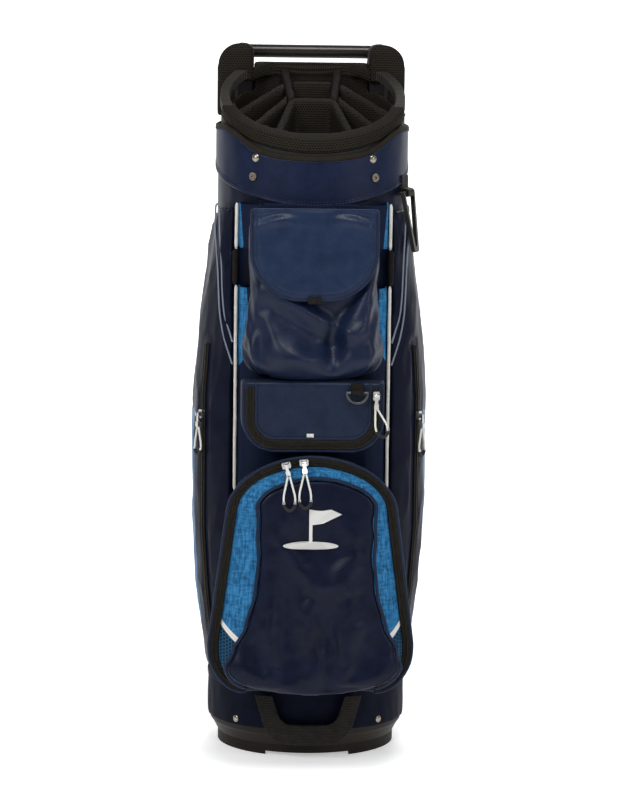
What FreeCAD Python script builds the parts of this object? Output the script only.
import FreeCAD
import Part

import math
import os

from FreeCAD import Placement, Rotation, Vector

# Oval golf cart bag that stands on its own moulded base.
#
# A stiff oval barrel stands in a moulded tub.  Its sloping collar carries nine padded club slots, two side
# grips and a rear lifting handle.  A column of pockets runs down the front, a long pocket sits on each side,
# and a carry strap hangs down the back.  The part's origin is on the barrel's axis at the floor; +Z is up and
# the front with the pockets faces -Y.  All sizes are in millimetres.

# ---- driving sizes: whole bag --------------------------------------------------------------------------
bag_height = 900.0          # floor to the top of the rear corner pads
gap = 0.3                   # room left between neighbouring pieces
running_gap = 0.05          # radial room of a pin in its hole

# ---- barrel: every oval below is this one grown or shrunk ----------------------------------------------
barrel_half_x = 117.5
barrel_half_y = 101.5
barrel_wall = 3.0
sleeve_cloth = 1.5
rod_radius = 3.5
rod_socket = 16.0

# ---- base ----------------------------------------------------------------------------------------------
foot_height = 14.0
foot_width = 15.0
foot_inset = 3.0            # foot ring's outer oval, inside the barrel's
notch_width = 106.0
notch_height = 4.5
boss_radius = 30.0
tub_ease = 3.5              # room between the barrel and the tub's wall
tub_wall = 3.0
tub_floor = 4.0
tub_shoulder = 30.0         # height where the tub reaches its full size
tub_top = 62.0
skirt_bottom = 37.0
skirt_top = 97.0
skirt_cloth = 2.6
base_rivet_x = 91.0
base_rivet_height = 44.0
rivet_cap_radius = 5.0
rivet_cap_rise = 2.2
rivet_shank_radius = 1.5

# ---- collar --------------------------------------------------------------------------------------------
rim_drop = 69.0             # bag's top down to the rim plane on the axis
rim_slope = 0.53            # rise of the rim plane per millimetre towards the back
frame_depth = 80.0
frame_wall = 4.0
rim_pad_width = 18.3
rim_pad_rise = 5.0
rim_pad_depth = 12.0        # padding that sits on top of the moulded frame
liner_depth = 48.0
liner_cloth = 5.0
recess_wall_y = 86.0        # back face of the collar inside the hand recess
recess_drop = 85.0          # bag's top down to the floor of the hand recess
recess_floor = 4.0
back_rim_drop = 24.0        # bag's top down to the flat top of the collar's back wall
cuff_drop = 156.0           # bag's top down to the cuff's lower edge on the axis
cuff_slope = 0.40
cuff_cloth = 2.4
binding_height = 7.0
binding_cloth = 3.2
cuff_front_height = 52.0    # cuff's height at the middle of the front
cuff_side_drop = 109.0      # bag's top down to the cuff's upper edge at the sides
cuff_back_drop = 86.0       # and at the back
cuff_rivet_x = 73.0
cuff_rivet_drop = 141.0
snap_x = 75.0
snap_drop = 164.0
back_rivet_drop = 106.0
back_snap_share = 0.913                                 # of the barrel's half width
back_snap_drop = 128.0
snap_radius = 5.2
snap_hole_radius = 2.2
snap_rise = 2.4

# ---- handles -------------------------------------------------------------------------------------------
handle_radius = 8.8
handle_bore = 6.3
handle_y = 115.0
handle_drop = 10.5          # bag's top down to the handle's axis
handle_half_span = 74.0     # exposed half length
handle_grip_in_pad = 14.0
pad_outer_x = 121.0
pad_front_y = 56.0
pad_drop = 62.0             # height of the rear corner pads
pad_corner = 16.0
grip_front_y = -24.0
grip_width = 12.0
grip_rise = 4.0
grip_thickness = 10.0
grip_dip = 30.0             # how far the rim dips under a grip
dip_reach = 60.0            # the dips lie further out than this
grip_landing = 7.0          # length of rim left under each end of a grip

# ---- dividers ------------------------------------------------------------------------------------------
divider_thick = 10.0
divider_depth = 50.0
curtain_thick = 2.0
curtain_bottom_gap = 6.0
divider_end_room = 0.6
well_back_half = 26.0
well_front_half = 51.0
post_back_half = 36.0
cross_bar_y = 40.0
upper_bar_inner = (33.0, 38.0)
upper_bar_outer = (104.0, -39.0)
lower_bar_inner = (27.0, 12.0)
lower_bar_outer = (84.0, -71.0)

# ---- front column --------------------------------------------------------------------------------------
column_half_x = 93.0
column_depth = 10.5         # front plate's outer face, ahead of the barrel
column_cloth = 3.0
column_edge_y = -58.0
column_bottom = 335.0
piping_radius = 2.4
sleeve_label_radius = 3.4
tunnel_bottom = 602.0
tunnel_height = 44.0
pocket_back_gap = 0.3

pouch_half_x = 84.0
pouch_depth = 44.0
pouch_bottom = 492.0
pouch_taper = 12.0
flap_half_x = 79.0
flap_height = 106.0
flap_cloth = 3.0
flap_corner = 62.0
flap_tab_size = (16.0, 5.0, 9.0)

tee_half_x = 90.0
tee_depth = 36.0
tee_bottom = 398.0
tee_height = 90.0
tee_corner = 44.0
zip_width = 11.0
zip_cloth = 1.4
tee_zip_inset = 7.0
tee_slider_drop = 16.0
tee_pull_swing = 16.0       # degrees that the cord loop hangs out to the side

# ---- ball pocket: an arch of tangent arcs --------------------------------------------------------------
ball_bottom = 100.0
ball_top = 396.0
ball_depth = 46.0
ball_face_depth = 36.0
ball_face_top_depth = 15.0
ball_face_inset = 28.0
arch_radius = 140.0
arch_half_angle = 26.0
arch_corner = 58.0
arch_flare = 7.5            # lean of the sides, in degrees
arch_foot_radius = 40.0
ball_slider_left_angle = 14.0
ball_slider_right_angle = 4.6
ball_pull_lean = 42.0
ball_pull_slope = 0.62
badge_radius = 16.0
badge_thick = 1.6

# ---- side pockets --------------------------------------------------------------------------------------
side_bulge = 31.0
side_rise = ((0.0, 0.28), (52.0, 0.56), (112.0, 0.80))             # height over the foot, share of bulge
side_fall = ((152.0, 0.78), (92.0, 0.52), (42.0, 0.32), (0.0, 0.12))   # height below the top, share
side_top_drop = 50.0        # below the cuff's middle
side_centre_x = 62.0
side_half_y = 88.0
side_centre_y = -4.0
side_zip_y = -52.0
side_zip_low = 148.0
side_zip_high = 524.0
side_straight_low = 290.0
side_straight_high = 460.0
side_slider_height = 434.0

# ---- zip sliders and their cord pulls ------------------------------------------------------------------
slider_length = 11.0
slider_width = 8.0
slider_thick = 4.0
lug_gap = 4.6
lug_wall = 1.6
lug_height = 5.2
pull_pin_radius = 1.0
pull_pin_height = 3.0       # pin's axis above the slider's face
link_length = 10.0
crimp_length = 6.0
crimp_width = 5.6
crimp_thick = 4.4
pull_cord = 2.6
pull_tip_tube = 4.2

# ---- rings, straps and elastic cords -------------------------------------------------------------------
d_ring_wire = 3.2
d_ring_half = 13.0
d_ring_x = 54.0
tab_cloth = 2.0
towel_y = -36.0
towel_top_half = 21.0
towel_bottom_half = 8.0
towel_length = 76.0
towel_bar = 5.0
towel_stand_off = 5.5
towel_lean = 9.0            # degrees that the ring lies out from plumb, on the pocket below it
grab_band = 26.0
grab_cloth = 2.5
grab_stand_off = 14.0
grab_half_x = 64.0
grab_top = 84.0
grab_bottom = 22.0
strap_width = 38.0
strap_pad_width = 58.0
strap_pad_length = 250.0
strap_pad_thick = 12.0
strap_cloth = 3.0
strap_bow = 38.0
strap_stand_off = 12.0      # swivel line behind the cuff
strap_ring_top_drop = 144.0                              # below the top of the bag
strap_ring_bottom = 286.0
strap_eye_bar = 7.0
strap_eye_window = 6.0
strap_eye_thick = 7.0
anchor_wire = 4.0
anchor_ring_half = 21.0
anchor_ring_height = 18.0
anchor_tab_width = 30.0
anchor_patch_height = 34.0
hook_radius = 8.0
hook_wire = 3.5
swivel_radius = 2.0
swivel_head_radius = 3.4
swivel_head_thick = 2.0
elastic_cord = 2.2

# ---- derived places ------------------------------------------------------------------------------------
rim_axis_z = bag_height - rim_drop
cuff_axis_z = bag_height - cuff_drop
strap_ring_top = bag_height - strap_ring_top_drop
sleeve_outer = gap + sleeve_cloth                       # offsets are all from the barrel's outer oval
cuff_inner = sleeve_outer + gap
cuff_outer = cuff_inner + cuff_cloth
tub_outer = tub_ease + tub_wall
skirt_inner = tub_outer + gap
skirt_outer = skirt_inner + skirt_cloth
tub_floor_top = foot_height + tub_floor
pad_inner_offset = sleeve_outer - rim_pad_width
front_y = -(barrel_half_y + column_depth)               # outer face of the front column's plate
big = 400.0                                             # reach of a cutting tool, past the whole bag


# ---- shared geometry -----------------------------------------------------------------------------------
def rim_z(y, lift=0.0):
    """Height of the collar's sloping rim plane."""
    return rim_axis_z + rim_slope * y + lift


def cuff_z(y, lift=0.0):
    """Height of the cuff's lower edge."""
    return cuff_axis_z + cuff_slope * y + lift


def oval_wire(half_x, half_y, z, centre_x=0.0, centre_y=0.0):
    centre = Vector(centre_x, centre_y, z)
    along_x = centre + Vector(half_x, 0, 0)
    along_y = centre + Vector(0, half_y, 0)
    ends = (along_x, along_y) if half_x >= half_y else (along_y, along_x)
    return Part.Wire([Part.Ellipse(ends[0], ends[1], centre).toShape()])


def oval(offset, low, high):
    """Solid of the barrel's oval, grown by offset, between two heights."""
    face = Part.Face(oval_wire(barrel_half_x + offset, barrel_half_y + offset, low))
    return face.extrude(Vector(0, 0, high - low))


def ring(outer, inner, low, high):
    return oval(outer, low, high).cut(oval(inner, low - 1, high + 1))


def lofted_oval(levels):
    """Solid through ovals given as (height, offset)."""
    wires = [oval_wire(barrel_half_x + offset, barrel_half_y + offset, z) for z, offset in levels]
    return Part.makeLoft(wires, True, True)


def oval_y(offset, x):
    """Positive y of the offset oval at x."""
    half_x, half_y = barrel_half_x + offset, barrel_half_y + offset
    return half_y * math.sqrt(1 - (x / half_x) ** 2)


def oval_x(offset, y):
    half_x, half_y = barrel_half_x + offset, barrel_half_y + offset
    return half_x * math.sqrt(1 - (y / half_y) ** 2)


def oval_normal(x, y):
    """Outward horizontal normal of the barrel's oval at a point near it."""
    normal = Vector(x / barrel_half_x**2, y / barrel_half_y**2, 0)
    return normal.normalize()


def prism_x(points, half_x=big):
    """Solid of a closed outline of (y, z) points, extruded both ways along X."""
    corners = [Vector(-half_x, y, z) for y, z in points]
    face = Part.Face(Part.makePolygon(corners + corners[:1]))
    return face.extrude(Vector(2 * half_x, 0, 0))


def above(axis_z, slope):
    """Everything above a plane that slopes up towards the back."""
    low, high = axis_z - slope * big, axis_z + slope * big
    return prism_x([(-big, low), (big, high), (big, high + 2 * big), (-big, high + 2 * big)])


def box(x0, x1, y0, y1, z0, z1):
    return Part.makeBox(x1 - x0, y1 - y0, z1 - z0, Vector(x0, y0, z0))


def mirrored(shape):
    return shape.mirror(Vector(0, 0, 0), Vector(1, 0, 0))


def rounded_wire(corners, radii):
    """Closed wire through coplanar corners, each rounded by its radius with a tangent arc."""
    count = len(corners)
    starts, arcs = [], []
    for i, corner in enumerate(corners):
        before = (corners[i - 1] - corner).normalize()
        after = (corners[(i + 1) % count] - corner).normalize()
        half = before.getAngle(after) / 2
        reach = radii[i] / math.tan(half)
        inner = (before + after).normalize() * (radii[i] / math.sin(half))
        middle = corner + inner - inner.normalize() * radii[i]
        starts.append(corner + before * reach)
        arcs.append((middle, corner + after * reach))
    edges = []
    for i in range(count):
        middle, end = arcs[i]
        edges.append(Part.Arc(starts[i], middle, end).toShape())
        edges.append(Part.LineSegment(end, starts[(i + 1) % count]).toShape())
    return Part.Wire(edges)


def tube_path(points):
    """Straight runs joined by tangent arcs, each as large as its two runs allow."""
    edges, at, radii = [], points[0], []
    for i in range(1, len(points) - 1):
        before, after = points[i - 1] - points[i], points[i + 1] - points[i]
        run = 0.45 * min(before.Length, after.Length)
        before.normalize()
        after.normalize()
        half = before.getAngle(after) / 2
        radius = run * math.tan(half)
        start, end = points[i] + before * run, points[i] + after * run
        towards = (before + after).normalize()
        middle = points[i] + towards * (radius / math.sin(half) - radius)
        edges.append(Part.LineSegment(at, start).toShape())
        edges.append(Part.Arc(start, middle, end).toShape())
        at = end
        radii.append(radius)
    edges.append(Part.LineSegment(at, points[-1]).toShape())
    return Part.Wire(edges), radii


def cord_tube(name, points, diameter):
    """Round cord along a route of points; prints its length, tightest arc and how true its volume is."""
    path, radii = tube_path(points)
    along = (points[1] - points[0]).normalize()
    profile = Part.Wire([Part.Circle(points[0], along, diameter / 2).toShape()])
    solid = path.makePipeShell([profile], True, False)
    share = solid.Volume / (math.pi * diameter**2 / 4 * path.Length)
    print(f"{name}: length {path.Length:.1f}, tightest arc {min(radii):.1f}, volume share {share:.4f}")
    return solid


def export(name, *shapes):
    solids = [solid for shape in shapes for solid in shape.Solids]
    whole = solids[0] if len(solids) == 1 else Part.makeCompound(solids)
    if not whole.isValid() or any(solid.Volume <= 0 for solid in solids):
        print(f"{name} is not a sound solid")
    whole.exportStep(os.path.join("parts", name + ".step"))


def rivet(point, outward, depth):
    """Domed cap on the surface, with a shank that reaches depth into it."""
    dome_radius = (rivet_cap_radius**2 + rivet_cap_rise**2) / (2 * rivet_cap_rise)
    centre = point + outward * (rivet_cap_rise - dome_radius)
    dome = Part.makeSphere(dome_radius, centre)
    keep = Part.makeCylinder(rivet_cap_radius, rivet_cap_rise, point, outward)
    shank = Part.makeCylinder(rivet_shank_radius, depth + 0.5, point - outward * depth, outward)
    return dome.common(keep).fuse(shank).removeSplitter()


# ---- base: tub, rubber foot ring, skirt and rivets -----------------------------------------------------
def base_rivet_places():
    y = oval_y(skirt_outer, base_rivet_x)
    return [
        Vector(sx * base_rivet_x, sy * y, base_rivet_height) for sx in (-1, 1) for sy in (-1, 1)
    ]


def through_holes(places, depth, radius):
    tools = []
    for place in places:
        outward = oval_normal(place.x, place.y)
        tools.append(Part.makeCylinder(radius, depth, place - outward * (depth - 1), outward))
    return tools


def build_base():
    tub = lofted_oval([
        (foot_height, -foot_inset), (tub_shoulder - 4, tub_outer - 3), (tub_shoulder, tub_outer),
        (tub_top, tub_outer),
    ])
    hollow = lofted_oval([
        (tub_floor_top, -foot_inset - tub_wall), (tub_shoulder, tub_ease), (tub_top + 1, tub_ease),
    ])
    boss = Part.makeCylinder(boss_radius, foot_height, Vector(0, 0, 0))
    holes = through_holes(base_rivet_places(), 16, rivet_shank_radius + running_gap)
    sockets = [Part.makeCylinder(rod_radius + gap, rod_socket, Vector(x, y, foot_height + 1.5))
               for x, y in rod_places()]
    tub = tub.cut(hollow).fuse(boss).removeSplitter().cut(Part.makeCompound(holes + sockets))
    export("base_tub", tub)

    foot = ring(-foot_inset - gap, -foot_inset - foot_width, 0, foot_height - gap)
    notch = box(-notch_width / 2, notch_width / 2, -big, big, -1, notch_height)
    export("foot_ring", foot.cut(notch))

    skirt = ring(skirt_outer, skirt_inner, skirt_bottom, skirt_top)
    export("base_skirt", skirt.cut(Part.makeCompound(holes)))


# ---- barrel: stiff shell, cloth sleeve and stay rods ---------------------------------------------------
def rod_places():
    reach = barrel_wall + gap + rod_radius
    return [
        (-(barrel_half_x - reach), 0.0), (barrel_half_x - reach, 0.0), (0.0, barrel_half_y - reach),
    ]


def build_barrel():
    over_frame = above(rim_axis_z - frame_depth - gap, rim_slope)
    shell = ring(0, -barrel_wall, tub_shoulder + gap, bag_height).cut(over_frame)
    export("barrel_shell", shell)
    sleeve = ring(sleeve_outer, gap, tub_top + gap, bag_height).cut(over_frame)
    export("outer_sleeve", sleeve)
    rods = []
    for x, y in rod_places():
        low = foot_height + 2
        high = rim_z(y, -frame_depth + 18)
        rods.append(Part.makeCylinder(rod_radius, high - low, Vector(x, y, low)))
    export("stay_rods", *rods)


# ---- collar: moulded frame, rim padding, cuff, binding and studs ---------------------------------------
def recess_zone(grow=0.0):
    """Hand recess behind the collar's back wall."""
    return box(-big, big, recess_wall_y - grow, big, bag_height - recess_drop - grow, bag_height + big)


def dip_zone(extra_drop):
    """Where the rim dips under the two side grips."""
    front, back = grip_front_y + grip_landing, pad_front_y - 1
    low = [(y, rim_z(y, -grip_dip - extra_drop)) for y in (front, back)]
    dip = prism_x([low[0], low[1], (back, bag_height + 50), (front, bag_height + 50)])
    return dip.cut(box(-dip_reach, dip_reach, -big, big, -big, 2 * bag_height))


def corner_pad_block(grow=0.0):
    """Left rear corner pad before it is fitted round its neighbours."""
    x0, x1 = -pad_outer_x - grow, -handle_half_span + grow
    y0, y1 = pad_front_y - grow, handle_y + handle_radius + 4 + grow
    z0 = bag_height - pad_drop - grow
    corners = [Vector(x0, y0, z0), Vector(x1, y0, z0), Vector(x1, y1, z0), Vector(x0, y1, z0)]
    wire = rounded_wire(corners, [6, 6, 8, pad_corner + 14])
    block = Part.Face(wire).extrude(Vector(0, 0, pad_drop + 2 * grow))
    top = [edge for edge in block.Edges if abs(edge.BoundBox.ZMin - (bag_height + grow)) < 0.01]
    return block.makeFillet(pad_corner - 4, top)


def below_binding(grow):
    """Zone inside the outer face of the binding, up to its upper edge."""
    return oval(cuff_inner + binding_cloth + grow, 0, bag_height).cut(cuff_top_tool(binding_height + grow))


def cuff_top_tool(lift):
    """Everything above the cuff's upper edge, which dips at the front."""
    front_z = cuff_z(-(barrel_half_y + cuff_outer), cuff_front_height)
    side_z = bag_height - cuff_side_drop
    back_z = bag_height - cuff_back_drop
    curve = Part.BSplineCurve()
    curve.interpolate([Vector(-big, y, z + lift) for y, z in (
        (-150, front_z - 3), (-108, front_z), (-88, front_z + 9), (-62, side_z - 7), (-42, side_z),
        (0, side_z), (60, side_z + 6), (150, back_z),
    )])
    start, end = curve.StartPoint, curve.EndPoint
    top = bag_height + big
    points = [end, Vector(-big, end.y, top), Vector(-big, start.y, top), start]
    edges = [curve.toShape()] + [Part.LineSegment(a, b).toShape() for a, b in zip(points, points[1:])]
    return Part.Face(Part.Wire(edges)).extrude(Vector(2 * big, 0, 0))


def collar_frame_shape():
    frame = ring(0, -frame_wall, 0, 2 * bag_height)
    frame = frame.cut(above(rim_axis_z - rim_pad_depth, rim_slope))
    frame = frame.common(above(rim_axis_z - frame_depth, rim_slope))
    frame = frame.cut(dip_zone(rim_pad_depth)).cut(recess_zone())
    back_wall = box(-big, big, recess_wall_y - frame_wall, recess_wall_y, bag_height - recess_drop - 20, bag_height)
    floor_low = bag_height - recess_drop - recess_floor
    floor = box(-big, big, recess_wall_y - frame_wall, big, floor_low, floor_low + recess_floor)
    inside = oval(-frame_wall / 2, 0, bag_height).cut(above(rim_axis_z - rim_pad_depth, rim_slope))
    inside = inside.common(above(rim_axis_z - frame_depth, rim_slope))
    frame = frame.fuse(back_wall.common(inside)).fuse(floor.common(inside)).removeSplitter()
    sockets = [Part.makeCylinder(rod_radius + gap, 400, Vector(x, y, rim_z(y, -frame_depth + 18) - 400 + gap))
               for x, y in rod_places()]
    return frame.cut(Part.makeCompound(sockets))


def rim_pad_shape():
    """Foam roll on the collar's rim with a liner that hangs down inside it."""
    roll = ring(sleeve_outer, pad_inner_offset, 0, 2 * bag_height)
    roll = roll.cut(above(rim_axis_z + rim_pad_rise, rim_slope))
    roll = roll.common(above(rim_axis_z - rim_pad_depth + gap, rim_slope))
    liner_outer = -frame_wall - gap
    liner = ring(liner_outer, liner_outer - liner_cloth, 0, 2 * bag_height)
    liner = liner.cut(above(rim_axis_z, rim_slope))
    liner = liner.common(above(rim_axis_z - liner_depth - rim_pad_depth, rim_slope))
    liner = liner.cut(recess_zone(frame_wall + gap))
    back_liner = box(-big, big, recess_wall_y - frame_wall - gap - liner_cloth, recess_wall_y - frame_wall - gap,
                     0, bag_height)
    back_liner = back_liner.common(oval(liner_outer, 0, bag_height)).cut(above(rim_axis_z, rim_slope))
    back_liner = back_liner.common(above(rim_axis_z - liner_depth, rim_slope))
    back_x = oval_x(sleeve_outer, recess_wall_y)
    back_roll = box(-back_x, back_x, recess_wall_y - frame_wall - gap - liner_cloth, recess_wall_y + gap,
                    0, 2 * bag_height)
    back_roll = back_roll.cut(above(rim_axis_z + rim_pad_rise, rim_slope))
    back_roll = back_roll.common(above(rim_axis_z - rim_pad_depth + gap, rim_slope))
    pad = roll.fuse([liner, back_liner]).cut(recess_zone()).cut(dip_zone(-rim_pad_rise))
    pad = pad.fuse(back_roll.cut(recess_zone())).removeSplitter()
    pad = pad.cut(box(-big, big, 0, big, bag_height - back_rim_drop, 2 * bag_height))
    pad = pad.cut(corner_pad_block(gap)).cut(mirrored(corner_pad_block(gap)))
    return pad


def divider_zone_offset():
    return -frame_wall - gap - liner_cloth - divider_end_room


def build_collar():
    frame = collar_frame_shape()
    export("collar_frame", frame)
    pad = rim_pad_shape().cut(grip_zone()).cut(mirrored(grip_zone()))
    export("rim_pad", pad)

    binding = ring(cuff_inner + binding_cloth, cuff_inner, 0, bag_height).cut(cuff_top_tool(binding_height))
    binding = binding.common(cuff_top_tool(gap))
    export("cuff_binding", binding)

    cuff = ring(cuff_outer, cuff_inner, 0, bag_height).cut(cuff_top_tool(0))
    cuff = cuff.common(above(cuff_axis_z, cuff_slope))
    rivet_places = front_places(cuff_rivet_x, cuff_rivet_drop) + back_places(cuff_rivet_x, back_rivet_drop)
    snap_places = front_places(snap_x, snap_drop)
    snap_places += back_places(back_snap_share * barrel_half_x, back_snap_drop)
    holes = through_holes(rivet_places + snap_places, 4, rivet_shank_radius + running_gap)
    export("cuff_panel", cuff.cut(Part.makeCompound(holes)))
    depth = cuff_cloth + gap / 2
    base_depth = skirt_outer - tub_ease + 1
    rivets = [rivet(p, oval_normal(p.x, p.y), depth) for p in rivet_places]
    rivets += [rivet(p, oval_normal(p.x, p.y), base_depth) for p in base_rivet_places()]
    export("rivets", *rivets)
    export("snap_sockets", *[snap_socket(p, depth) for p in snap_places])


def front_places(x, drop):
    y = oval_y(cuff_outer, x)
    return [Vector(side * x, -y, bag_height - drop) for side in (-1, 1)]


def back_places(x, drop):
    y = oval_y(cuff_outer, x)
    return [Vector(side * x, y, bag_height - drop) for side in (-1, 1)]


def snap_socket(place, depth):
    """Ring-shaped press-stud half that takes the rain hood's stud."""
    outward = oval_normal(place.x, place.y)
    cap = Part.makeCylinder(snap_radius, snap_rise, place, outward)
    rim = [edge for edge in cap.Edges if edge.Length > 6 * snap_radius / 2][-1]
    hole = Part.makeCylinder(snap_hole_radius, snap_rise, place + outward * 0.8, outward)
    shank = Part.makeCylinder(rivet_shank_radius, depth + 0.4, place - outward * depth, outward)
    return cap.makeFillet(0.8, [rim]).cut(hole).fuse(shank).removeSplitter()


# ---- handles: rear bar in its corner pads, and the side grips ------------------------------------------
def handle_axis_z():
    return bag_height - handle_drop


def grip_bar():
    """Left grip: a bar that carries on the line of the rim over its dip."""
    outer = oval(-gap, 0, 2 * bag_height)
    bar = outer.cut(oval(-gap - grip_width, -1, 2 * bag_height + 1))
    bar = bar.cut(above(rim_axis_z + grip_rise, rim_slope))
    bar = bar.common(above(rim_axis_z + grip_rise - grip_thickness, rim_slope))
    back = pad_front_y + 8
    return bar.common(box(-big, 0, grip_front_y, back, 0, 2 * bag_height))


def grip_zone():
    """Pocket cut in the rim padding for the front end of the left grip."""
    outer = oval(big, 0, 2 * bag_height)
    zone = outer.cut(oval(-gap - grip_width - gap, -1, 2 * bag_height + 1))
    zone = zone.common(above(rim_axis_z + grip_rise - grip_thickness - gap, rim_slope))
    return zone.common(box(-big, 0, grip_front_y - gap, pad_front_y + 8, 0, 2 * bag_height))


def build_handles():
    axis_z = handle_axis_z()
    half = handle_half_span + handle_grip_in_pad
    bar = Part.makeCylinder(handle_radius, 2 * half, Vector(-half, handle_y, axis_z), Vector(1, 0, 0))
    bore = Part.makeCylinder(handle_bore, 2 * half + 2, Vector(-half - 1, handle_y, axis_z), Vector(1, 0, 0))
    export("rear_handle", bar.cut(bore))

    socket = Part.makeCylinder(
        handle_radius + gap, handle_grip_in_pad + 1 + gap,
        Vector(-half - gap, handle_y, axis_z), Vector(1, 0, 0),
    )
    frame_zone = oval(gap, 0, bag_height).cut(above(rim_axis_z - rim_pad_depth + gap, rim_slope))
    pad = corner_pad_block().cut(socket).cut(frame_zone).cut(below_binding(gap))
    bar_left = grip_bar()
    grown = oval(0, 0, 2 * bag_height).cut(oval(-2 * gap - grip_width, -1, 2 * bag_height + 1))
    grown = grown.common(above(rim_axis_z + grip_rise - grip_thickness - gap, rim_slope))
    grown = grown.cut(above(rim_axis_z + grip_rise + gap, rim_slope))
    grown = grown.common(box(-big, 0, 0, pad_front_y + 8 + gap, 0, 2 * bag_height))
    pad = pad.cut(grown)
    pad = max(pad.Solids, key=lambda solid: solid.Volume)
    export("rear_corner_pads", pad, mirrored(pad))
    export("side_grips", bar_left, mirrored(bar_left))


# ---- dividers: padded bars at the rim and cloth curtains below them ------------------------------------
def plate(start, end, thick, low, high):
    """Upright plate between two (x, y) points."""
    a, b = Vector(start[0], start[1], low), Vector(end[0], end[1], low)
    along = (b - a).normalize()
    side = Vector(-along.y, along.x, 0) * (thick / 2)
    corners = [a + side, b + side, b - side, a - side]
    return Part.Face(Part.makePolygon(corners + corners[:1])).extrude(Vector(0, 0, high - low))


def divider_lines():
    """Plan lines in cutting order: a later plate stops at an earlier one."""
    back_reach = recess_wall_y
    front_y_reach = -(barrel_half_y - 8)

    def left(point):
        return (-point[0], point[1])

    well = [
        ((-well_back_half, 0.0), (well_back_half, 0.0)),
        ((-well_back_half, 0.0), (-well_front_half, front_y_reach)),
        ((well_back_half, 0.0), (well_front_half, front_y_reach)),
    ]
    posts = [((side * well_back_half, 0.0), (side * post_back_half, back_reach)) for side in (-1, 1)]
    cross = [((-post_back_half, cross_bar_y), (post_back_half, cross_bar_y))]
    bars = [
        (left(upper_bar_inner), left(upper_bar_outer)), (upper_bar_inner, upper_bar_outer),
        (left(lower_bar_inner), left(lower_bar_outer)), (lower_bar_inner, lower_bar_outer),
    ]
    return {"putter_well": well, "divider_posts": posts, "divider_cross_bar": cross, "divider_side_bars": bars}


def cut_to_fit(thick, low, high, zone):
    """Plates of every divider line, each stopped gap short of the ones before it."""
    fitted, tools = {}, []
    for name, lines in divider_lines().items():
        fitted[name] = []
        for start, end in lines:
            solid = plate(start, end, thick, low, high).common(zone)
            for tool in tools:
                solid = solid.cut(tool)
            middle = Vector((start[0] + end[0]) / 2, (start[1] + end[1]) / 2, 0)
            piece = min(solid.Solids, key=lambda s: (s.CenterOfMass - middle).projectToPlane(
                Vector(0, 0, 0), Vector(0, 0, 1)).Length)
            fitted[name].append(piece)
            tools.append(plate(start, end, thick + 2 * gap, low - 1, high + 1))
    return fitted


def build_dividers():
    inside_y = recess_wall_y - frame_wall - gap - liner_cloth - divider_end_room
    room = oval(divider_zone_offset(), 0, bag_height)
    room = room.common(box(-big, big, -big, inside_y, 0, bag_height))
    band = room.cut(above(rim_axis_z - 2, rim_slope)).common(above(rim_axis_z - divider_depth, rim_slope))
    roll = oval(pad_inner_offset - divider_end_room, 0, bag_height)
    under_roll = above(rim_axis_z - rim_pad_depth - gap, rim_slope)
    band = band.cut(under_roll).fuse(band.common(roll))
    for name, solids in cut_to_fit(divider_thick, 0, bag_height, band).items():
        export(name, *solids)

    low = tub_floor_top + curtain_bottom_gap
    in_barrel = oval(-barrel_wall - 2, low, bag_height).cut(above(rim_axis_z - frame_depth - gap, rim_slope))
    in_collar = room.cut(above(rim_axis_z - divider_depth - gap, rim_slope)).common(oval(0, low, bag_height))
    inner = in_barrel.fuse(in_collar)
    rods = [Part.makeCylinder(rod_radius + 2, bag_height, Vector(x, y, 0)) for x, y in rod_places()]
    inner = inner.cut(Part.makeCompound(rods))
    curtains = cut_to_fit(curtain_thick, low, bag_height, inner)
    export("divider_curtains", *[solid for solids in curtains.values() for solid in solids])


# ---- front column: plate with its strap tunnel, piping, pouch and flap ---------------------------------
def column_wire(inset, z):
    half = column_half_x - inset
    edge_y = column_edge_y + 20
    y = front_y + inset
    corners = [
        Vector(-half, edge_y, z), Vector(-half, y + 17, z), Vector(-half + 22, y, z),
        Vector(half - 22, y, z), Vector(half, y + 17, z), Vector(half, edge_y, z),
    ]
    return rounded_wire(corners, [1, 12, 30, 30, 12, 1])


def column_top():
    return cuff_z(front_y) - 2


def build_column():
    high = column_top()
    outer = Part.Face(column_wire(0, column_bottom)).extrude(Vector(0, 0, high - column_bottom))
    inner = Part.Face(column_wire(column_cloth, column_bottom - 1)).extrude(Vector(0, 0, high - column_bottom + 2))
    panel = outer.cut(inner).cut(oval(sleeve_outer + gap, 0, bag_height))
    panel = panel.cut(box(-big, big, column_edge_y, big, 0, bag_height))
    slot = box(-big, big, front_y + column_cloth + 2, column_edge_y, tunnel_bottom, tunnel_bottom + tunnel_height)
    export("front_panel", panel.cut(slot))

    piping_x = column_half_x + gap
    piping_y = front_y + 17 + 4
    tunnel_top = tunnel_bottom + tunnel_height
    pipes, labels = [], []
    for side in (-1, 1):
        foot = Vector(side * (piping_x + piping_radius), piping_y, 0)
        for low, top in ((column_bottom + 8, tunnel_bottom - gap), (tunnel_top + gap, high)):
            pipes.append(Part.makeCylinder(piping_radius, top - low, foot + Vector(0, 0, low)))
        label_foot = foot + Vector(side * (sleeve_label_radius - piping_radius), 0, tunnel_bottom)
        labels.append(Part.makeCylinder(sleeve_label_radius, tunnel_height, label_foot))
    export("column_piping", *pipes)
    export("strap_labels", *labels)


def bulged_block(low_wire, high_wire):
    return Part.makeLoft([low_wire, high_wire], True, True)


def panel_wire(half_x, low, high, y_low, y_high, radii):
    """Rounded outline on a plane that may lean: y_low at its foot, y_high at its top."""
    corners = [
        Vector(-half_x, y_high, high), Vector(-half_x, y_low, low), Vector(half_x, y_low, low),
        Vector(half_x, y_high, high),
    ]
    return rounded_wire(corners, radii)


def pouch_top():
    return column_top() - 4


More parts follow.
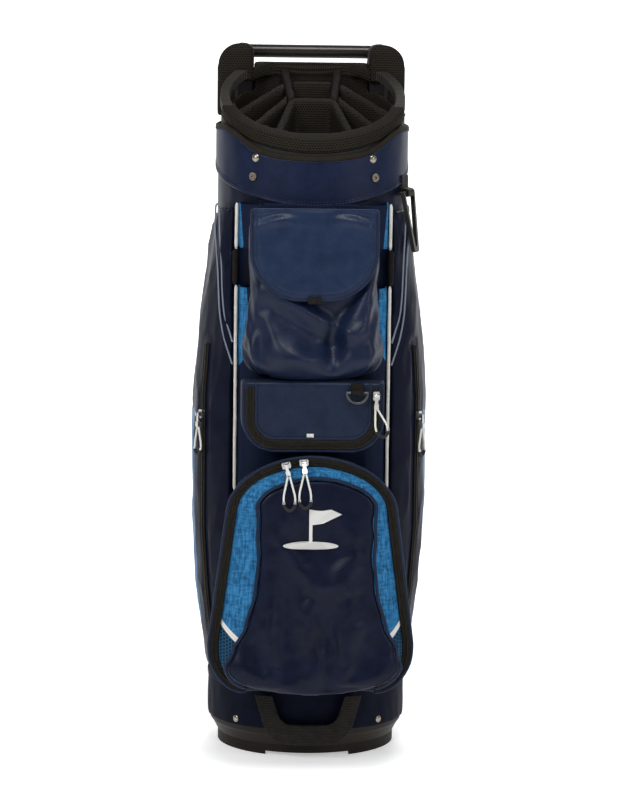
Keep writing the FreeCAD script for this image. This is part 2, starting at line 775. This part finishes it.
def pouch_front_y(z):
    """Front of the pouch: deeper at its foot than at its top."""
    share = (pouch_top() - z) / (pouch_top() - pouch_bottom)
    return front_y - pouch_back_depth() - (pouch_depth - pouch_back_depth()) * share


def pouch_back_depth():
    return pouch_depth * 0.32


def build_pouch():
    top, back = pouch_top(), front_y - pocket_back_gap
    rear = panel_wire(pouch_half_x, pouch_bottom, top, back, back, [8, 24, 24, 8])
    front = panel_wire(
        pouch_half_x - pouch_taper, pouch_bottom + pouch_taper, top - 3,
        pouch_front_y(pouch_bottom), pouch_front_y(top), [8, 26, 26, 8],
    )
    export("valuables_pouch", bulged_block(rear, front))

    flap_low = top - flap_height
    stand = gap + 1.2
    hinge_y, hinge_z = flap_hinge()
    low_y, high_y = pouch_front_y(flap_low) - stand, hinge_y - 0.6
    wire = panel_wire(flap_half_x, flap_low, hinge_z, low_y, high_y, [4, flap_corner, flap_corner, 4])
    export("valuables_flap", Part.Face(wire).extrude(Vector(0, -flap_cloth, 0)))
    width, thick, height = flap_tab_size
    y = pouch_front_y(flap_low + 2) - stand - flap_cloth - gap
    export("flap_tab", box(-width / 2, width / 2, y - thick, y - 1.2, flap_low - 3, flap_low + height - 3))


def flap_hinge():
    """(y, z) of the line that the flap is sewn along."""
    return pouch_front_y(pouch_top()) - gap - 1.4, pouch_top()


# ---- tee pocket, its zip, slider and accessory ring ----------------------------------------------------
def tee_front_y():
    return front_y - pocket_back_gap - tee_depth


def tee_top():
    return tee_bottom + tee_height


def tee_outline(inset, y):
    return panel_wire(tee_half_x - inset, tee_bottom + inset, tee_top() - gap, y, y,
                      [3, tee_corner - inset, tee_corner - inset, 3])


def build_tee_pocket():
    back = front_y - pocket_back_gap
    rear, front = tee_outline(0, back), tee_outline(4, tee_front_y())
    body = bulged_block(rear, front)
    export("tee_pocket", body)
    band = Part.Face(tee_outline(tee_zip_inset, tee_front_y() - gap)).extrude(Vector(0, -zip_cloth, 0))
    middle = Part.Face(tee_outline(tee_zip_inset + zip_width, tee_front_y())).extrude(Vector(0, -4, 0))
    band = band.cut(middle).cut(box(-big, big, -big, 0, tee_top() - 6, bag_height))
    export("tee_zip", band)


def zip_x():
    return tee_half_x - tee_zip_inset - zip_width / 2


def slider_shape(along_x):
    """Slider standing on the plane y = 0 and facing -Y, with lugs that take the pull's pin along X."""
    half_u = (slider_length if along_x else slider_width) / 2
    half_w = (slider_width if along_x else slider_length) / 2
    corners = [Vector(-half_u, 0, -half_w), Vector(half_u, 0, -half_w), Vector(half_u, 0, half_w),
               Vector(-half_u, 0, half_w)]
    block = Part.Face(rounded_wire(corners, [2, 2, 2, 2])).extrude(Vector(0, -slider_thick, 0))
    reach = lug_gap / 2 + lug_wall
    lug_block = box(-reach, reach, -slider_thick - lug_height, -slider_thick + 0.5, -2.6, 2.6)
    slot = box(-lug_gap / 2, lug_gap / 2, -slider_thick - lug_height - 1, -slider_thick, -3, 3)
    hole = Part.makeCylinder(pull_pin_radius + running_gap, 2 * reach + 2,
                             Vector(-reach - 1, -slider_thick - pull_pin_height, 0), Vector(1, 0, 0))
    return block.fuse(lug_block.cut(slot)).cut(hole).removeSplitter()


def pull_metal():
    """Pin, link plate and crimp of a pull that hangs from the origin along -Z."""
    reach = lug_gap / 2 + lug_wall
    pin = Part.makeCylinder(pull_pin_radius, 2 * reach, Vector(-reach, 0, 0), Vector(1, 0, 0))
    half = lug_gap / 2 - gap
    link = box(-half, half, -1.2, 1.2, -link_length, 0)
    eye = Part.makeCylinder(1.9, 2 * half, Vector(-half, 0, 0), Vector(1, 0, 0))
    crimp = box(-crimp_width / 2, crimp_width / 2, -crimp_thick / 2, crimp_thick / 2,
                -link_length - crimp_length, -link_length + 0.5)
    return pin.fuse(link).fuse(eye).fuse(crimp).removeSplitter()


def pull_route(bend):
    """Cord loop below the crimp; bend(s) is how far it stands forward, s below the crimp."""
    low = -link_length - crimp_length
    half = [(1.4, 0.0), (4.2, 10.5), (7.4, 21.0), (6.8, 31.0)]
    right = [Vector(x, bend(s), low - s) for x, s in half]
    foot = [Vector(0.0, bend(37.0), low - 37.0)]
    left = [Vector(-p.x, p.y, p.z) for p in reversed(right)]
    return right + foot + left


def pull_tip(route):
    """Rubber sleeve over the foot of the cord loop."""
    part = [route[2] * 0.45 + route[3] * 0.55] + route[3:6] + [route[6] * 0.45 + route[5] * 0.55]
    path, _ = tube_path(part)
    along = (part[1] - part[0]).normalize()
    profile = Part.Wire([Part.Circle(part[0], along, pull_tip_tube / 2).toShape()])
    return path.makePipeShell([profile], True, False)


def build_pull(prefix, suffix, placement, lean, bend, plumb=0.0):
    """Exports a pull's cord and its metal and rubber ends, hung at placement and leaning forward.

    The cord loop turns by plumb at the crimp, so that it hangs straight down from a tilted slider.
    """
    crimp_foot = Vector(0, 0, -link_length - crimp_length)
    swing = Placement(Vector(0, 0, 0), Rotation(Vector(0, 1, 0), plumb), crimp_foot)
    route = [swing.multVec(point) for point in pull_route(bend)]
    lean_turn = Placement(Vector(0, 0, 0), Rotation(Vector(1, 0, 0), -lean))
    where = placement.multiply(lean_turn)
    cord = cord_tube(prefix + "_pull_cord" + suffix, route, pull_cord)
    metal, tip = pull_metal(), pull_tip(route)
    for shape in (cord, metal, tip):
        shape.Placement = where.multiply(shape.Placement)
    export(prefix + "_pull_cord" + suffix, cord)
    export(prefix + "_pull_ends" + suffix, metal.cut(cord), tip.cut(cord))


def build_tee_slider():
    face_y = tee_front_y() - gap - zip_cloth - gap
    where = Placement(Vector(zip_x(), face_y, tee_top() - tee_slider_drop), Rotation())
    slider = slider_shape(False)
    slider.Placement = where
    export("tee_slider", slider)
    pin = Placement(where.Base + Vector(0, -slider_thick - pull_pin_height, 0), Rotation())
    build_pull("tee", "", pin, 0, lambda s: 0.0, -tee_pull_swing)


def build_d_ring():
    y = tee_front_y() - 6.0
    z = tee_top() - 12.0
    wire = d_ring_wire / 2
    bar_half = d_ring_half
    bar = Part.makeCylinder(wire, 2 * bar_half, Vector(d_ring_x - bar_half, y, z), Vector(1, 0, 0))
    ends = [Vector(d_ring_x - bar_half, y, z), Vector(d_ring_x + bar_half, y, z)]
    bow = Part.Arc(ends[0], Vector(d_ring_x, y, z - bar_half), ends[1]).toShape()
    profile = Part.Wire([Part.Circle(ends[0], Vector(0, 0, 1), wire).toShape()])
    hoop = Part.Wire([bow]).makePipeShell([profile], True, False)
    balls = [Part.makeSphere(wire, end) for end in ends]
    export("d_ring", bar.fuse([hoop] + balls).removeSplitter())
    half = 8.0
    outer = Part.makeCylinder(wire + gap + tab_cloth, 2 * half, Vector(d_ring_x - half, y, z), Vector(1, 0, 0))
    tail = box(d_ring_x - half, d_ring_x + half, tee_front_y() - gap - 2 * tab_cloth, tee_front_y() - gap,
               z, tee_top() - gap)
    neck = box(d_ring_x - half, d_ring_x + half, y, tee_front_y() - gap, z, z + wire + gap + tab_cloth)
    bore = Part.makeCylinder(wire + running_gap, 2 * half + 2, Vector(d_ring_x - half - 1, y, z), Vector(1, 0, 0))
    export("d_ring_tab", outer.fuse([tail, neck]).cut(bore).removeSplitter())


# ---- ball pocket: arch-shaped body, opening front, zip, two sliders and badge --------------------------
def arch_centre_z():
    return ball_top - arch_radius


def arch_wire(inset, y, lean=0.0):
    """Arch outline, inset all round; lean moves it forward by that much per millimetre below the top."""
    turn = math.radians(arch_half_angle)
    flare = math.radians(arch_flare)
    reach = arch_radius - arch_corner
    corner_x, corner_z = reach * math.sin(turn), arch_centre_z() + reach * math.cos(turn)
    foot_z = ball_bottom + arch_foot_radius
    drop = corner_z - foot_z
    foot_x = corner_x + (arch_corner - arch_foot_radius + drop * math.sin(flare)) / math.cos(flare)

    def point(centre_x, centre_z, radius, angle):
        z = centre_z + (radius - inset) * math.sin(angle)
        return Vector(centre_x + (radius - inset) * math.cos(angle), y - lean * (ball_top - z), z)

    quarter, half = math.pi / 2, math.pi
    stops = [  # centre, radius and the two angles of each arc, anticlockwise from the lower right
        (foot_x, foot_z, arch_foot_radius, -quarter, flare),
        (corner_x, corner_z, arch_corner, flare, quarter - turn),
        (0.0, arch_centre_z(), arch_radius, quarter - turn, quarter + turn),
        (-corner_x, corner_z, arch_corner, quarter + turn, half - flare),
        (-foot_x, foot_z, arch_foot_radius, half - flare, half + quarter),
    ]
    arcs = [[point(cx, cz, r, a0 + (a1 - a0) * t) for t in (0, 0.5, 1)] for cx, cz, r, a0, a1 in stops]
    edges = []
    for i, (start, middle, end) in enumerate(arcs):
        edges.append(Part.Arc(start, middle, end).toShape())
        following = arcs[(i + 1) % len(arcs)][0]
        if (following - end).Length > 1e-6:
            edges.append(Part.LineSegment(end, following).toShape())
    return Part.Wire(edges)


def ball_zip_y():
    """Plane of the zip, where the pocket's front part begins."""
    return front_y - pocket_back_gap - ball_depth


def build_ball_pocket():
    zip_y = ball_zip_y()
    wire = arch_wire(0, -barrel_half_y + 40)
    body = Part.Face(wire).extrude(Vector(0, zip_y + barrel_half_y - 40, 0))
    column = Part.Face(column_wire(-pocket_back_gap, 0)).extrude(Vector(0, 0, bag_height))
    pipes = [box(side * (column_half_x + 3) - 3.6, side * (column_half_x + 3) + 3.6, front_y + 10, big,
                 column_bottom, bag_height) for side in (-1, 1)]
    upper = column.cut(box(-big, big, -big, big, -1, column_bottom - gap))
    under_tee = box(-big, big, -big, big, tee_bottom - gap, bag_height)
    body = body.cut(oval(skirt_outer + gap, 0, skirt_top + gap)).cut(oval(sleeve_outer + gap, 0, bag_height))
    body = body.cut(upper).cut(Part.makeCompound(pipes)).cut(under_tee)
    for side in (-1, 1):
        body = body.cut(side_pocket_shape(side, 0.8))
    body = max(body.Solids, key=lambda solid: solid.Volume)
    export("ball_pocket", body)

    front = bulged_block(
        arch_wire(zip_width + gap, zip_y - gap),
        arch_wire(ball_face_inset, zip_y - ball_face_top_depth,
                  (ball_face_depth - ball_face_top_depth) / (ball_top - ball_bottom)),
    )
    export("ball_pocket_face", front)
    tape = Part.Face(arch_wire(0, zip_y - gap)).extrude(Vector(0, -zip_cloth, 0))
    middle = Part.Face(arch_wire(zip_width, zip_y)).extrude(Vector(0, -zip_cloth - 1, 0))
    tape = tape.cut(middle).cut(box(-big, big, -big, big, 0, ball_bottom + zip_width + 1))
    export("ball_zip", tape.cut(side_pocket_shape(-1, 0.8)).cut(side_pocket_shape(1, 0.8)))

    centre = Vector(0, 0, arch_centre_z())
    top = Vector(0, zip_y - gap - zip_cloth - gap, ball_top - zip_width / 2)
    for suffix, angle in (("_left", ball_slider_left_angle), ("_right", ball_slider_right_angle)):
        turn = Rotation(Vector(0, 1, 0), -angle)
        place = Placement(centre + turn.multVec(top - centre), turn)
        slider = slider_shape(True)
        slider.Placement = place
        export("ball_slider" + suffix, slider)
        pin = Placement(place.multVec(Vector(0, -slider_thick - pull_pin_height, 0)), turn)
        build_pull("ball", suffix, pin, ball_pull_lean, ball_pull_bend, angle)

    badge_z = ball_bottom + 0.72 * (ball_top - ball_bottom)
    lean = (ball_face_depth - ball_face_top_depth) / (ball_top - ball_bottom)
    y = zip_y - ball_face_top_depth - lean * (ball_top - badge_z) - gap
    badge = Part.makeCylinder(badge_radius, badge_thick, Vector(0, y, badge_z), Vector(0, -1, lean))
    export("badge", badge)


def ball_pull_bend(s):
    """The loop bends back down over the pocket's upper edge."""
    return ball_pull_slope * max(0.0, s - 0.5)


# ---- side pockets --------------------------------------------------------------------------------------
def side_levels():
    """(height, share of the full bulge) up a side pocket."""
    low, high = skirt_top + 2, cuff_axis_z - side_top_drop
    levels = [(low + rise, share) for rise, share in side_rise]
    levels += [(side_straight_low, 1.0), (side_straight_high, 1.0)]
    return levels + [(high - fall, share) for fall, share in side_fall]


def side_pocket_shape(side, grow=0.0):
    wires = [
        oval_wire(barrel_half_x + side_bulge * share - side_centre_x + grow, side_half_y + grow, z,
                  side * side_centre_x, side_centre_y)
        for z, share in side_levels()
    ]
    return Part.makeLoft(wires, True, True)


def side_face(y, z_share=1.0):
    """x and outward angle of a side pocket's surface at y."""
    half_x = barrel_half_x + side_bulge * z_share - side_centre_x
    x = half_x * math.sqrt(1 - ((y - side_centre_y) / side_half_y) ** 2)
    angle = math.degrees(math.atan2((y - side_centre_y) / side_half_y**2, x / half_x**2))
    return side_centre_x + x, angle


def build_side_pockets():
    keep_out = oval(sleeve_outer + gap, 0, bag_height).fuse(oval(skirt_outer + gap, 0, skirt_top + gap))
    column_keep = Part.Face(column_wire(-2 * gap - 2 * sleeve_label_radius, 0)).extrude(Vector(0, 0, bag_height))
    tapes = []
    for side, suffix in ((-1, "_left"), (1, "_right")):
        pocket = side_pocket_shape(side).cut(keep_out).cut(column_keep)
        pocket = pocket.common(box(0, big, -big, big, 0, bag_height) if side > 0
                               else box(-big, 0, -big, big, 0, bag_height))
        pocket = max(pocket.Solids, key=lambda solid: solid.Volume)
        export("side_pocket" + suffix, pocket)
        strip = side_pocket_shape(side, gap + zip_cloth).cut(side_pocket_shape(side, gap))
        x0, x1 = sorted((side * side_centre_x, side * big))
        strip = strip.common(box(x0, x1, side_zip_y - zip_width / 2, side_zip_y + zip_width / 2,
                                 side_zip_low, side_zip_high))
        tapes.append(max(strip.Solids, key=lambda solid: solid.Volume))

        x, angle = side_face(side_zip_y)
        out = Vector(math.cos(math.radians(angle)), math.sin(math.radians(angle)), 0)
        base = Vector(x, side_zip_y, side_slider_height) + out * (2 * gap + zip_cloth)
        turn = Rotation(Vector(0, 0, 1), 90 + angle)
        if side < 0:
            base = Vector(-base.x, base.y, base.z)
            turn = Rotation(Vector(0, 0, 1), -90 - angle)
        place = Placement(base, turn)
        slider = slider_shape(False)
        slider.Placement = place
        export("side_slider" + suffix, slider)
        pin = Placement(place.multVec(Vector(0, -slider_thick - pull_pin_height, 0)), turn)
        build_pull("side", suffix, pin, 0, lambda s: 0.0)
    export("side_zips", *tapes)


# ---- towel ring ----------------------------------------------------------------------------------------
def towel_pivot():
    normal = Vector(oval_x(cuff_outer, towel_y), towel_y, 0)
    outward = oval_normal(normal.x, normal.y)
    return normal + outward * towel_stand_off + Vector(0, 0, cuff_z(towel_y) - 14), outward


def build_towel_ring():
    pivot, outward = towel_pivot()
    half = towel_bar / 2
    top, foot = towel_top_half, towel_bottom_half
    outer = [Vector(-top, 0, half), Vector(-foot, 0, -towel_length), Vector(foot, 0, -towel_length),
             Vector(top, 0, half)]
    inner = [Vector(-top + towel_bar, 0, -half), Vector(-foot + towel_bar, 0, -towel_length + towel_bar + 2),
             Vector(foot - towel_bar, 0, -towel_length + towel_bar + 2), Vector(top - towel_bar, 0, -half)]
    plate_out = Part.Face(rounded_wire(outer, [2.4, 5, 5, 2.4])).extrude(Vector(0, -towel_bar, 0))
    plate_in = Part.Face(rounded_wire(inner, [3, 2, 2, 3])).extrude(Vector(0, -towel_bar - 2, 0))
    plate_in.translate(Vector(0, 1, 0))
    ring_shape = plate_out.cut(plate_in)
    ring_shape.translate(Vector(0, towel_bar / 2, 0))
    ring_shape.rotate(Vector(0, 0, 0), Vector(1, 0, 0), -towel_lean)
    angle = math.degrees(math.atan2(outward.y, outward.x))
    where = Placement(pivot, Rotation(Vector(0, 0, 1), 90 + angle))
    loop_half = 12.0
    reach = towel_bar / 2 * math.sqrt(2) + gap
    barrel = Part.makeCylinder(reach + tab_cloth, 2 * loop_half, Vector(-loop_half, 0, 0), Vector(1, 0, 0))
    bore = Part.makeCylinder(reach, 2 * loop_half + 2, Vector(-loop_half - 1, 0, 0), Vector(1, 0, 0))
    tail = box(-loop_half, loop_half, 0, towel_stand_off + 3, 0, reach + tab_cloth)
    rise = box(-loop_half, loop_half, towel_stand_off - 2.2, towel_stand_off - 0.2, 0, 22)
    tab = barrel.fuse([tail, rise]).cut(bore).removeSplitter()
    for shape in (ring_shape, tab):
        shape.Placement = where.multiply(shape.Placement)
    tab = tab.cut(oval(cuff_outer + gap, 0, bag_height)).cut(side_pocket_shape(1, gap))
    export("towel_ring", ring_shape)
    export("towel_tab", max(tab.Solids, key=lambda solid: solid.Volume))


# ---- grab strap at the foot of the front ---------------------------------------------------------------
def build_grab_strap():
    stand = skirt_outer + grab_stand_off
    wall = ring(stand, stand - grab_cloth, 0, grab_top)
    y = -big
    outer = [Vector(-grab_half_x - 4, y, grab_top), Vector(-grab_half_x + 14, y, grab_bottom),
             Vector(grab_half_x - 14, y, grab_bottom), Vector(grab_half_x + 4, y, grab_top)]
    inner = [Vector(-grab_half_x + 18, y, grab_top + 1), Vector(-grab_half_x + 30, y, grab_bottom + grab_band),
             Vector(grab_half_x - 30, y, grab_bottom + grab_band), Vector(grab_half_x - 18, y, grab_top + 1)]
    band = Part.Face(rounded_wire(outer, [0.5, 34, 34, 0.5])).extrude(Vector(0, big, 0))
    hole = Part.Face(rounded_wire(inner, [0.5, 18, 18, 0.5])).extrude(Vector(0, big, 0))
    export("grab_strap", wall.common(band).cut(hole))


# ---- carry strap down the back -------------------------------------------------------------------------
def strap_axis_y():
    """Upright line through both swivels, behind the bag."""
    return barrel_half_y + cuff_outer + strap_stand_off


def anchor_tab(z, up):
    """Webbing tab sewn to the back, with its loop round a strap ring at height z."""
    back = barrel_half_y + sleeve_outer + gap
    y = strap_axis_y()
    half = anchor_tab_width / 2
    loop_radius = anchor_wire / 2 + running_gap
    loop = Part.makeCylinder(loop_radius + tab_cloth, 2 * half, Vector(-half, y, z), Vector(1, 0, 0))
    bore = Part.makeCylinder(loop_radius, 2 * half + 2, Vector(-half - 1, y, z), Vector(1, 0, 0))
    tail = box(-half, half, back, y, min(z, z - up * 3), max(z, z - up * 3))
    patch_z = sorted((z, z - up * anchor_patch_height))
    patch = box(-half - 4, half + 4, back, back + cuff_cloth + gap + 3, patch_z[0], patch_z[1])
    tab = loop.fuse([tail, patch]).cut(bore)
    keep_out = oval(cuff_outer + gap, 0, bag_height).common(above(cuff_axis_z - gap, cuff_slope))
    tab = tab.cut(keep_out.fuse(oval(sleeve_outer + gap, 0, bag_height)))
    return max(tab.Solids, key=lambda solid: solid.Volume)


def strap_ring(z, up):
    """Square wire ring: its fixed bar lies in the tab at height z, its free bar up or down from there."""
    y = strap_axis_y()
    half = anchor_ring_half
    free_z = z + up * anchor_ring_height
    corners = [Vector(-half, y, z), Vector(half, y, z), Vector(half, y, free_z), Vector(-half, y, free_z)]
    path = rounded_wire(corners, [anchor_wire * 0.8] * 4)
    start = path.Edges[0]
    profile = Part.Wire([Part.Circle(
        start.Vertexes[0].Point, start.tangentAt(start.FirstParameter), anchor_wire / 2).toShape()])
    return path.makePipeShell([profile], True, False)


def hook_centre_z(z, up):
    """Height of the hook's centre, with the ring's free bar resting inside the hook."""
    slack = hook_radius - hook_wire / 2 - anchor_wire / 2 - gap
    return z + up * (anchor_ring_height + slack)


def swivel_hook(z, up):
    """Snap hook round the ring's free bar, with a headed post that the strap's end turns on."""
    y, centre_z = strap_axis_y(), hook_centre_z(z, up)
    eye = Part.makeTorus(hook_radius, hook_wire / 2, Vector(0, y, centre_z), Vector(1, 0, 0))
    along = Vector(0, 0, up)
    foot = Vector(0, y, centre_z) + along * hook_radius
    reach = hook_wire / 2 + gap + strap_eye_bar + gap
    post = Part.makeCylinder(swivel_radius, reach, foot, along)
    head = Part.makeCylinder(swivel_head_radius, swivel_head_thick, foot + along * reach, along)
    return eye.fuse([post, head]).removeSplitter()


def strap_end(z, up):
    """Eye at one end of the strap: (solid, hole, height at which the webbing starts)."""
    y = strap_axis_y()
    start = hook_centre_z(z, up) + up * (hook_radius + hook_wire / 2 + gap)
    length = strap_eye_bar + strap_eye_window + strap_cloth
    z0, z1 = sorted((start, start + up * length))
    half = strap_width / 2 + 3
    frame = box(-half, half, y - strap_eye_thick / 2, y + strap_eye_thick / 2, z0, z1)
    w0, w1 = sorted((start + up * strap_eye_bar, start + up * (strap_eye_bar + strap_eye_window)))
    window = box(-half + 4, half - 4, y - big, y + big, w0, w1)
    hole = Part.makeCylinder(
        swivel_radius + running_gap, strap_eye_bar + 2, Vector(0, y, start - up), Vector(0, 0, up))
    return frame, window.fuse(hole), start + up * (length - 1)


def bowed_band(low, high, thick, width, bow):
    """Band between two heights, bowed away from the bag, its middle line through both end points."""
    y, middle = strap_axis_y(), (low + high) / 2

    def line(push):
        return [Vector(-width / 2, y + push, low), Vector(-width / 2, y + bow + push, middle),
                Vector(-width / 2, y + push, high)]

    near, far = line(-thick / 2), line(thick / 2)
    edges = [
        Part.Arc(*near).toShape(), Part.LineSegment(near[2], far[2]).toShape(),
        Part.Arc(*reversed(far)).toShape(), Part.LineSegment(far[0], near[0]).toShape(),
    ]
    return Part.Face(Part.Wire(edges)).extrude(Vector(width, 0, 0))


def build_carry_strap():
    places = ((strap_ring_top, -1), (strap_ring_bottom, 1))
    export("strap_tabs", *[anchor_tab(z, up) for z, up in places])
    export("strap_hardware", *[make(z, up) for z, up in places for make in (strap_ring, swivel_hook)])
    frames, holes, ends = zip(*[strap_end(z, up) for z, up in places])
    high, low = ends
    web = bowed_band(low, high, strap_cloth, strap_width, strap_bow)
    pad = bowed_band(low, high, strap_pad_thick, strap_pad_width, strap_bow)
    middle, half_pad = (low + high) / 2, strap_pad_length / 2
    pad = pad.common(box(-big, big, 0, big, middle - half_pad, middle + half_pad))
    strap = web.fuse([pad] + list(frames)).cut(Part.makeCompound(list(holes)))
    export("carry_strap", strap.removeSplitter())


# ---- elastic cords on the side panels ------------------------------------------------------------------
def elastic_route(side):
    """One cord: out of the seam beside the piping, up the side, back down and into the seam again."""
    points = [
        (99.6, -88.3, 530.0), (104.5, -80.5, 545.0), (110.5, -74.7, 563.0), (112.8, -70.1, 590.0),
        (114.0, -64.8, 630.0), (116.8, -52.6, 668.0), (117.2, -46.4, 685.0), (117.4, -45.8, 695.0),
        (119.9, -37.8, 700.0), (122.1, -29.9, 695.0), (121.9, -30.6, 685.0), (122.8, -36.0, 667.0),
        (119.0, -57.2, 630.0), (117.4, -65.2, 592.0), (115.8, -70.2, 562.0), (112.0, -75.4, 541.0),
        (107.5, -79.4, 524.0), (99.6, -88.3, 502.0),
    ]
    return [Vector(side * x, y, z) for x, y, z in points]


def build_elastic_cords():
    for side, suffix in ((-1, "_left"), (1, "_right")):
        name = "elastic_cord" + suffix
        export(name, cord_tube(name, elastic_route(side), elastic_cord))


def main():
    os.makedirs("parts", exist_ok=True)
    build_base()
    build_barrel()
    build_collar()
    build_handles()
    build_dividers()
    build_column()
    build_pouch()
    build_tee_pocket()
    build_tee_slider()
    build_d_ring()
    build_ball_pocket()
    build_side_pockets()
    build_towel_ring()
    build_grab_strap()
    build_carry_strap()
    build_elastic_cords()


main()
